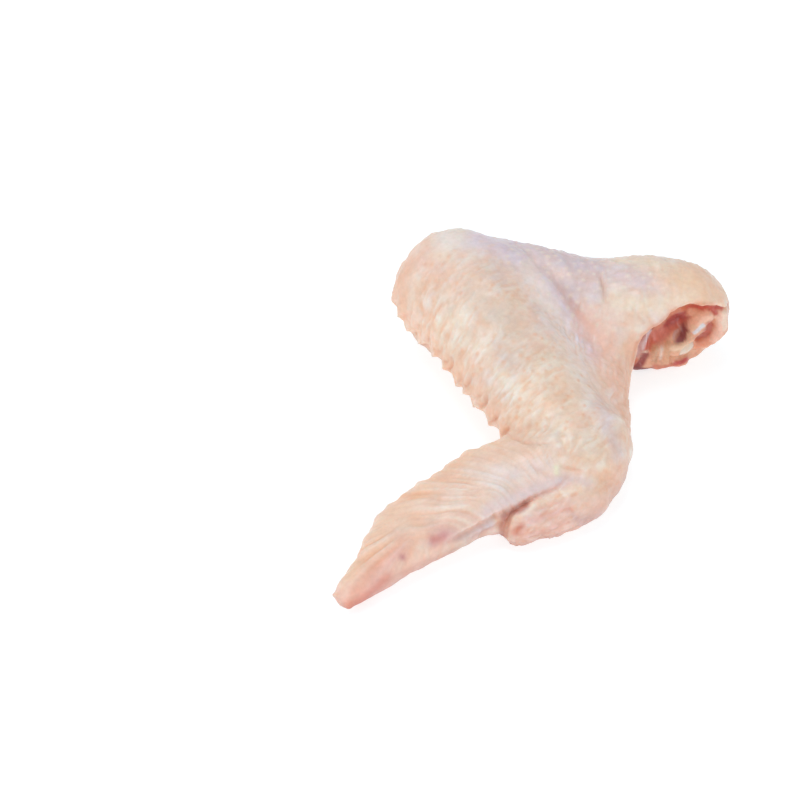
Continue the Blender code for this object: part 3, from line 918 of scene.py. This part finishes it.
def shape_skin(surface, cut):
    """Gives the skin its knuckles, wrinkles, creases and spots, and sinks it under the cut's flesh."""
    points, normals = surface.points, surface.normals
    shares = region_shares(points)
    calm = roughness_share(surface)
    wrinkles = wrinkle_rise(points, shares) * calm
    spots, near = spot_rise(points, shares)
    knuckles = forearm_knuckles(points) + shares["hand"] * hand_knuckles(points, normals)
    creases, painted_crease_shade = crease_rise(surface)
    rise = knuckles + wrinkles + spots + creases + swelling_rise(surface)
    rise += 0.3 * noise(points, 6, 31) + 0.14 * noise(points, 3, 32)
    depth, sunk = sunk_depth(points, normals, cut)
    rise *= (1 - sunk) * smoothstep(0, RELIEF_FOOT, points[:, 2])
    surface.write(points + normals * rise[:, None] - depth[:, None] * CUT_NORMAL)
    return {
        "shares": shares,
        "calm": calm,
        "relief": wrinkles + 0.2 * knuckles,
        # how much painted shade each place gets in a crease
        "creases": np.clip(painted_crease_shade, 0, 1),
        "near spot": near,
        "sunk": sunk,
    }


def shift_skin(surface):
    """Moves the web's skin off the cut's left side, and the places that lie aside."""
    right, up, out = in_cut(surface.points)
    share = smoothstep(-17, -12.5, right) * (1 - smoothstep(-11, -9.5, right))
    share *= smoothstep(-11, -8, up) * (1 - smoothstep(3, 7, up)) * smoothstep(-5, -3, out)
    points = surface.points - WEB_SHIFT * share[:, None] * CUT_RIGHT
    for middle, reach, move in SHIFTS:
        apart = np.linalg.norm(surface.points - np.array(middle), axis=1)
        points += bell(apart, reach)[:, None] * np.array(move)
    surface.write(points)


def blend(colours, colour, weight):
    """Moves each place's colour towards one colour, as far as its weight says."""
    colours += weight[:, None] * (linear(colour) - colours)


def tint(colours, change, weight):
    """Makes each place lighter or darker by shares of its red, green and blue."""
    colours *= 1 + weight[:, None] * np.array(change)


def mottled_colours(surface, relief):
    """Each region's colour with its blotches, strokes and streaks."""
    points, shares = surface.points, relief["shares"]
    colours = sum(shares[name][:, None] * linear(REGION_COLOURS[name]) for name in REGIONS)
    strength_there = 1 - MOTTLE_FADE * (1 - surface.nearly_seen)
    for size, colour, seed, low, high, strength, on_hand in MOTTLES:
        weight = (strength + (on_hand - strength) * shares["hand"]) * strength_there
        blend(colours, colour, weight * smoothstep(low, high, noise(points, size, seed)))
    for colour, seed, strength in STROKES:
        blend(colours, colour, strength * strokes(points, seed) * shares["forearm"] * relief["calm"])
    blend(colours, STREAK, STREAK_STRENGTH * (hand_streaks(points) * shares["hand"]))
    return colours


def add_washes(colours, surface):
    """Soft patches of colour whose edges wander, among them painted highlights and painted shade."""
    points = surface.points
    pixels = surface.pixels + 3.0 * np.stack([noise(points, 5, 55), noise(points, 5, 56)], axis=1)
    for route, half_width, colour, strength in WASHES:
        found, apart, _ = beside_route(pixels, route, 2.6 * half_width)
        weight = strength * bell(apart, half_width) * surface.nearly_seen[found]
        colours[found] += weight[:, None] * (linear(colour) - colours[found])


def add_spots(colours, points, relief):
    """Orange specks on the raised spots of forearm, web and thumb, and pale ones on the upper arm."""
    shares, near = relief["shares"], relief["near spot"]
    speck = smoothstep(0.15, 0.95, near) * smoothstep(-0.5, 0.4, noise(points, 9, 59))
    speck *= shares["forearm"] + 0.5 * shares["web"] + 0.8 * shares["thumb"]
    blend(colours, ORANGE, ORANGE_STRENGTH * speck * relief["calm"])
    bump = smoothstep(0.08, 0.9, near) * (shares["upper arm"] + 0.5 * shares["web"])
    bump *= 1 - smoothstep(*BUMPS_END, limb_places(points, *REGIONS["upper arm"][:2])[0])
    blend(colours, GOOSE_BUMP, BUMP_STRENGTH * bump)


def skin_colours(surface, relief):
    points = surface.points
    colours = mottled_colours(surface, relief)
    add_washes(colours, surface)
    along, arc = round_forearm(points)
    edge = bell(arc, 5) * relief["shares"]["forearm"] * smoothstep(-20, -6, along)
    blend(colours, DEEP_PEACH, EDGE_STRENGTH * edge)

    # Painted highlights on the raised relief and painted shade in its hollows
    ridge = np.clip(relief["relief"] / 0.25, -1, 1.4)
    high, low = np.maximum(ridge, 0), np.maximum(-ridge, 0)
    colours *= 1 + high[:, None] * np.array(RIDGE_PAINTED_HIGHLIGHT) + low[:, None] * np.array(VALLEY_PAINTED_SHADE)
    colours *= (1 + 0.04 * noise(points, 2.2, 57) + 0.03 * noise(points, 4.5, 58))[:, None]
    add_spots(colours, points, relief)
    # Painted shade in the creases, darker in deeper ones
    tint(colours, CREASE_PAINTED_SHADE, relief["creases"])
    # Painted shade on the low skin that faces down to the table
    turned_down = 1 - smoothstep(*LOW_FACING, surface.normals[:, 2])
    tint(colours, LOW_PAINTED_SHADE, turned_down * (1 - smoothstep(*LOW_HEIGHT, points[:, 2])))
    blend(colours, SUNKEN, relief["sunk"])
    return np.clip(colours, 0, 1)


def set_colours(obj, colours):
    attribute = obj.data.color_attributes.new("tint", "FLOAT_COLOR", "POINT")
    rgba = np.ones((len(colours), 4), np.float32)
    rgba[:, :3] = colours
    attribute.data.foreach_set("color", rgba.ravel())


def cut_face(skin):
    """The cut's face as a grid: how far out of the cut's plane it lies, and how far the skin sinks there."""
    cut = {
        "rights": np.arange(-15.1, 16.5, FLESH_GRID),
        "ups": np.arange(-14.5, 13.8, FLESH_GRID),
    }
    cut["outs"] = heights_over(skin, cut)
    right, up = np.meshgrid(cut["rights"], cut["ups"])
    face = (cut["outs"] > -5) & (rim_height(right) > up) & (right > RIM_START)
    cut["depth"] = edge_distance(face)
    inwards = smoothstep(0.6, SINK_REACH, cut["depth"])
    cut["sink"] = SINK_AT_EDGE + (SINK_IN_MIDDLE - SINK_AT_EDGE) * inwards
    return cut


def neighbours(grid, mode):
    """The grid of each of the four cells beside every cell, with that mode past the grid's edge."""
    padded = np.pad(grid, 1, mode=mode)
    return [padded[:-2, 1:-1], padded[2:, 1:-1], padded[1:-1, :-2], padded[1:-1, 2:]]


def edge_distance(mask):
    """How far each cell inside a mask is from its edge, in millimetres."""
    distance = np.zeros(mask.shape)
    left = mask.copy()
    for _ in range(int(SINK_REACH / FLESH_GRID) + 2):
        distance[left] += FLESH_GRID
        left = left & np.all(neighbours(left, "constant"), axis=0)
    return distance


def smoothed(grid, rounds):
    for _ in range(rounds):
        grid = 0.5 * grid + 0.125 * sum(neighbours(grid, "edge"))
    return grid


def heights_over(obj, cut):
    """How far out of the cut's plane an object reaches at each place of the cut."""
    tree = BVHTree.FromObject(obj, bpy.context.evaluated_depsgraph_get())
    outs = np.full((len(cut["ups"]), len(cut["rights"])), NOTHING_THERE)
    back = Vector(-CUT_NORMAL)
    for j, up in enumerate(cut["ups"]):
        for i, right in enumerate(cut["rights"]):
            start = CUT_POINT + CUT_RIGHT * right + CUT_UP * up + CUT_NORMAL * RAY_START
            hit = tree.ray_cast(Vector(to_row(start)), back, RAY_LENGTH * MM)
            if hit[0] is not None:
                outs[j, i] = RAY_START - hit[3] / MM
    return outs


def painted_heights(cut, typical, resting):
    """The heights of the pieces of flesh, each painted over those before it, and smoothed."""
    steady = smoothstep(0.2, 1.4, cut["depth"].ravel())
    edge_drop = np.minimum(0, resting + 1.8)
    height = resting.copy()
    for route, half_width, stands_out, _ in FLESH:
        found, apart, _ = beside_route(typical, route, 2 * half_width)
        weight = 1 - smoothstep(0.6 * half_width, 1.3 * half_width, apart)
        weight *= steady[found]
        height[found] += weight * (stands_out + edge_drop[found] - height[found])
    return smoothed(height.reshape(cut["outs"].shape), FLESH_ROUNDING).ravel()


def cover_bone(height, cut, bone, typical):
    """Keeps the flesh above the bone, and opens it where the bone's head shows."""
    height = np.maximum(height, heights_over(bone, cut).ravel() + BONE_COVER)
    window, apart, _ = beside_route(typical, BONE_WINDOW, 2 * BONE_WINDOW_REACH)
    open_there = 1 - smoothstep(0.8 * BONE_WINDOW_REACH, 1.3 * BONE_WINDOW_REACH, apart)
    height[window] -= open_there * 1.6 * BONE_COVER
    return height


def shoulder_flesh(cut, bone):
    """The muscles, fat and tendon that show in the cut, as one sheet over the sunken skin."""
    right, up = (axis.ravel() for axis in np.meshgrid(cut["rights"], cut["ups"]))
    out = np.maximum(cut["outs"].ravel(), -12)
    places = CUT_POINT + right[:, None] * CUT_RIGHT + up[:, None] * CUT_UP
    resting = np.minimum(out - 0.4, 0.2)
    typical = pixels_of(places + np.clip(resting, -3, 0)[:, None] * CUT_NORMAL)
    grain = np.stack([right + up * 0.9, (up - right * 0.9) * 0.3, out * 0], axis=1)
    height = painted_heights(cut, typical, resting)
    height += 0.09 * noise(grain, 1.0, 71) + 0.1 * noise(places, 2.4, 72)
    height = cover_bone(height, cut, bone, typical)
    rim = rim_height(right) - up
    at_start = 1 - smoothstep(RIM_START, RIM_START + 0.8, right)
    at_rim = np.maximum(1 - smoothstep(0.0, 0.8, rim), at_start)
    height += at_rim * (np.minimum(height, out - 0.9) - height)
    height = np.maximum(height, out - cut["sink"].ravel() + SINK_MARGIN)

    points = places + height[:, None] * CUT_NORMAL
    points[:, 2] = np.maximum(points[:, 2], 0.02)
    keep = (cut["outs"].ravel() > NOTHING_THERE) & (rim > -0.3) & (right > RIM_START - 0.3)
    return grid_object("shoulder_flesh", points, flesh_colours(points, grain), keep, len(cut["rights"]))


def flesh_colours(points, grain):
    wander = np.stack([noise(points, 1.6, 76), noise(points, 1.6, 77)], axis=1)
    pixels = pixels_of(points) + 1.3 * wander
    colours = np.tile(linear(FLESH_BASE), (len(points), 1))
    colours *= (1 + 0.08 * noise(grain, 1.2, 73) + 0.08 * noise(points, 3, 74))[:, None]
    for route, half_width, _, colour in FLESH:
        found, apart, _ = beside_route(pixels, route, 2 * half_width)
        weight = 1 - smoothstep(0.4 * half_width, 1.4 * half_width, apart)
        colours[found] += weight[:, None] * (linear(colour) - colours[found])
    return colours * (1 + 0.05 * noise(grain, 0.8, 75))[:, None]


def grid_object(name, points, colours, keep, columns):
    """A mesh of the kept cells of a grid whose rows have that many points."""
    faces = []
    for first in range(len(points) - columns - 1):
        face = (first, first + 1, first + columns + 1, first + columns)
        if (first + 1) % columns and all(keep[k] for k in face):
            faces.append(face)
    used = np.unique(np.array(faces).ravel())
    number = np.full(len(points), -1)
    number[used] = np.arange(len(used))
    faces = [tuple(int(number[k]) for k in face) for face in faces]
    obj = add_mesh(name, points[used], faces)
    set_colours(obj, np.clip(colours[used], 0, 1))
    return obj


def bone_piece(nodes):
    """The humerus, rounded."""
    obj = add_mesh("bone", *node_mesh(nodes["humerus"], 0))
    subdivide(obj, 2)
    apply_modifiers(obj)
    return obj


def set_inputs(node, values):
    for socket, value in values.items():
        node.inputs[socket].default_value = value


def new_material(name):
    """A material with its shader's constant values, its nodes, its links and its shader."""
    material = bpy.data.materials.new(name)
    material.use_nodes = True
    tree = material.node_tree
    shader = tree.nodes["Principled BSDF"]
    set_inputs(shader, SHADERS[name])
    return material, tree, shader


def texture_noise(tree, scale, detail, roughness):
    """Noise over the object's own place, at a scale per millimetre."""
    place = tree.nodes.new("ShaderNodeTexCoord")
    texture = tree.nodes.new("ShaderNodeTexNoise")
    set_inputs(texture, {"Scale": scale / MM, "Detail": detail, "Roughness": roughness})
    tree.links.new(place.outputs["Object"], texture.inputs["Vector"])
    return texture.outputs["Fac"]


def ranged(tree, output, low, high, to_low, to_high):
    change = tree.nodes.new("ShaderNodeMapRange")
    set_inputs(change, {"From Min": low, "From Max": high, "To Min": to_low, "To Max": to_high})
    tree.links.new(output, change.inputs["Value"])
    return change.outputs["Result"]


def tinted(tree, strength, texture):
    """The mesh's own colours, made lighter and darker by a texture."""
    own = tree.nodes.new("ShaderNodeAttribute")
    own.attribute_name = "tint"
    shade = ranged(tree, texture, *NOISE_MIDDLE, 1 - strength, 1 + strength)
    mixed = tree.nodes.new("ShaderNodeVectorMath")
    mixed.operation = "SCALE"
    tree.links.new(own.outputs["Color"], mixed.inputs[0])
    tree.links.new(shade, mixed.inputs["Scale"])
    return mixed.outputs["Vector"]


def added(tree, first, second):
    add = tree.nodes.new("ShaderNodeMath")
    add.operation = "ADD"
    tree.links.new(first, add.inputs[0])
    tree.links.new(second, add.inputs[1])
    return add.outputs["Value"]


def bumped(tree, shader, height, strength, distance):
    bump = tree.nodes.new("ShaderNodeBump")
    set_inputs(bump, {"Strength": strength, "Distance": distance * MM})
    tree.links.new(height, bump.inputs["Height"])
    tree.links.new(bump.outputs["Normal"], shader.inputs["Normal"])


def skin_material():
    material, tree, shader = new_material("raw_skin")
    mottle = texture_noise(tree, 0.9, 4, 0.6)
    pores = texture_noise(tree, 2.2, 3, 0.55)
    wet = texture_noise(tree, 0.25, 3, 0.5)
    tree.links.new(tinted(tree, 0.05, mottle), shader.inputs["Base Color"])
    tree.links.new(ranged(tree, wet, *NOISE_MIDDLE, *SKIN_ROUGHNESS), shader.inputs["Roughness"])
    height = added(tree, ranged(tree, mottle, 0, 1, 0, 0.7), ranged(tree, pores, 0, 1, 0, 0.3))
    bumped(tree, shader, height, 0.5, 0.12)
    return material


def flesh_material():
    material, tree, shader = new_material("raw_flesh")
    fibre = texture_noise(tree, 1.4, 4, 0.6)
    tree.links.new(tinted(tree, 0.08, fibre), shader.inputs["Base Color"])
    bumped(tree, shader, fibre, 0.3, 0.1)
    return material


def bone_material():
    material, tree, shader = new_material("cartilage")
    patches = texture_noise(tree, 0.28, 3, 0.5)
    ramp = tree.nodes.new("ShaderNodeValToRGB")
    for element, (position, colour) in zip(ramp.color_ramp.elements, CARTILAGE):
        element.position = position
        element.color = (*linear(colour), 1)
    tree.links.new(patches, ramp.inputs["Fac"])
    tree.links.new(ramp.outputs["Color"], shader.inputs["Base Color"])
    bumped(tree, shader, texture_noise(tree, 1.5, 3, 0.5), 0.3, 0.08)
    return material


def make_floor():
    half = FLOOR_SIZE / 2
    mesh = bpy.data.meshes.new("floor")
    square = [(-half, -half, 0), (half, -half, 0), (half, half, 0), (-half, half, 0)]
    mesh.from_pydata(square, [], [(0, 1, 2, 3)])
    floor = add_object("floor", mesh)
    floor.location.z = FLOOR_HEIGHT
    mesh.materials.append(new_material("floor_white")[0])


def aim(obj, place, direction):
    """Stands a camera or a light at a place, looking that way."""
    obj.location = place
    obj.rotation_mode = "QUATERNION"
    obj.rotation_quaternion = direction.to_track_quat("-Z", "Y")


def make_camera():
    camera = bpy.data.cameras.new("camera")
    camera.sensor_width = SENSOR_WIDTH
    camera.lens = PIXELS_PER_MM * CAMERA_DISTANCE / IMAGE_SIZE * SENSOR_WIDTH
    camera.clip_start = 0.01
    obj = add_object("camera", camera)
    aim(obj, Vector(to_row(-CAMERA_DISTANCE * LOOK)), Vector(LOOK))
    bpy.context.scene.camera = obj


def make_light():
    world = bpy.data.worlds.new("studio")
    world.use_nodes = True
    set_inputs(world.node_tree.nodes["Background"], {"Color": (1, 1, 1, 1), "Strength": WORLD_STRENGTH})
    bpy.context.scene.world = world
    for name, (place, size, energy) in SOFTBOXES.items():
        light = bpy.data.lights.new(name, "AREA")
        light.shape = "SQUARE"
        light.size = size
        light.energy = energy
        aim(add_object(name, light), place, Vector(LIT_PLACE) - Vector(place))
    view = bpy.context.scene.view_settings
    view.view_transform = "Standard"
    view.look = "None"
    view.exposure = 0
    view.gamma = 1


def dress(obj, material, slot, *replaced):
    obj.data.materials.clear()
    obj.data.materials.append(material)
    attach(obj, "root")
    if replaced:
        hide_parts(*replaced)


def main():
    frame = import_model()
    nodes = frame["nodes"]
    make_camera()
    make_light()
    make_floor()

    skin = skin_base(nodes)
    surface = Surface(skin)
    shift_skin(surface)
    cut = cut_face(skin)
    relief = shape_skin(surface, cut)
    set_colours(skin, skin_colours(surface, relief))
    bone = bone_piece(nodes)
    flesh = shoulder_flesh(cut, bone)

    dress(skin, skin_material(), "skin", "wing")
    dress(flesh, flesh_material(), "flesh")
    dress(bone, bone_material(), "bone", "humerus")


main()
